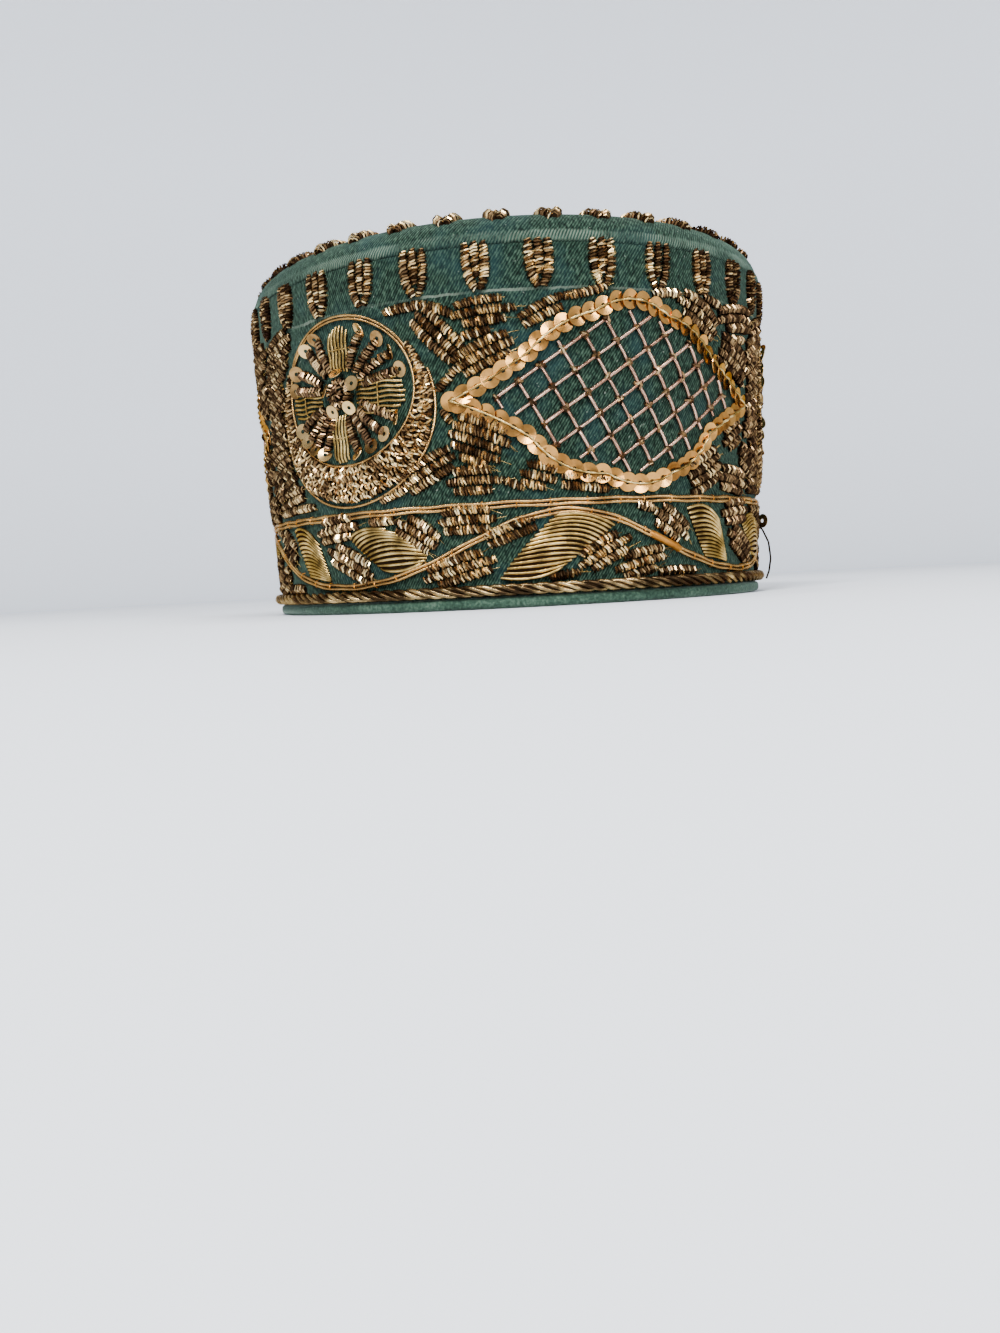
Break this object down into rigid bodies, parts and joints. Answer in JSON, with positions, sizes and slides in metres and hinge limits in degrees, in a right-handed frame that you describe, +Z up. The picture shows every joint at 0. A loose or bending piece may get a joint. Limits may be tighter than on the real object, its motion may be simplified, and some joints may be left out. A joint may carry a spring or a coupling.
{
  "type": "skullcap",
  "caption": "Oval velvet skullcap with a flat crown, a bound open rim and raised metal-thread embroidery round its wall. It is worn on the head and stands on its rim.",
  "frame": {"origin": "middle of the rim, on the surface that the cap stands on", "axes": "+Z up through the crown, -Y towards the front, +X towards the wearer's left"},
  "size_m": [0.1675, 0.195, 0.105],
  "materials": {
    "velvet": "dark green velvet, worn paler on the folds",
    "binding_velvet": "paler green velvet",
    "bullion": "tarnished coiled metal thread",
    "laid_gold": "laid and couched metal thread",
    "spangle": "thin stamped metal spangles"
  },
  "bodies": {
    "root": {"side_wall": "velvet", "crown_top": "velvet", "rim_binding": "binding_velvet", "rim_cord": "bullion", "guard_cord": "laid_gold", "vine_cord": "laid_gold", "tongue_01": "bullion", "tongue_02": "bullion", "tongue_03": "bullion", "tongue_04": "bullion", "tongue_05": "bullion", "tongue_06": "bullion", "tongue_07": "bullion", "tongue_08": "bullion", "tongue_09": "bullion", "tongue_10": "bullion", "tongue_11": "bullion", "tongue_12": "bullion", "tongue_13": "bullion", "tongue_14": "bullion", "tongue_15": "bullion", "tongue_16": "bullion", "tongue_17": "bullion", "tongue_18": "bullion", "tongue_19": "bullion", "tongue_20": "bullion", "tongue_21": "bullion", "tongue_22": "bullion", "tongue_23": "bullion", "tongue_24": "bullion", "tongue_25": "bullion", "tongue_26": "bullion", "tongue_27": "bullion", "tongue_28": "bullion", "tongue_29": "bullion", "tongue_30": "bullion", "tongue_31": "bullion", "tongue_32": "bullion", "tongue_33": "bullion", "roundel_1": "bullion", "roundel_2": "bullion", "roundel_3": "bullion", "lozenge_1": "spangle", "lozenge_2": "spangle", "lozenge_3": "spangle", "leaf_under_arch_1": "laid_gold", "leaf_under_arch_2": "laid_gold", "leaf_under_arch_3": "laid_gold", "leaf_under_arch_4": "laid_gold", "leaf_left_of_arch_1": "laid_gold", "leaf_left_of_arch_2": "laid_gold", "leaf_left_of_arch_3": "laid_gold", "leaf_left_of_arch_4": "laid_gold", "leaf_right_of_arch_1": "laid_gold", "leaf_right_of_arch_2": "laid_gold", "leaf_right_of_arch_3": "laid_gold", "leaf_right_of_arch_4": "laid_gold"}
  },
  "joints": []
}
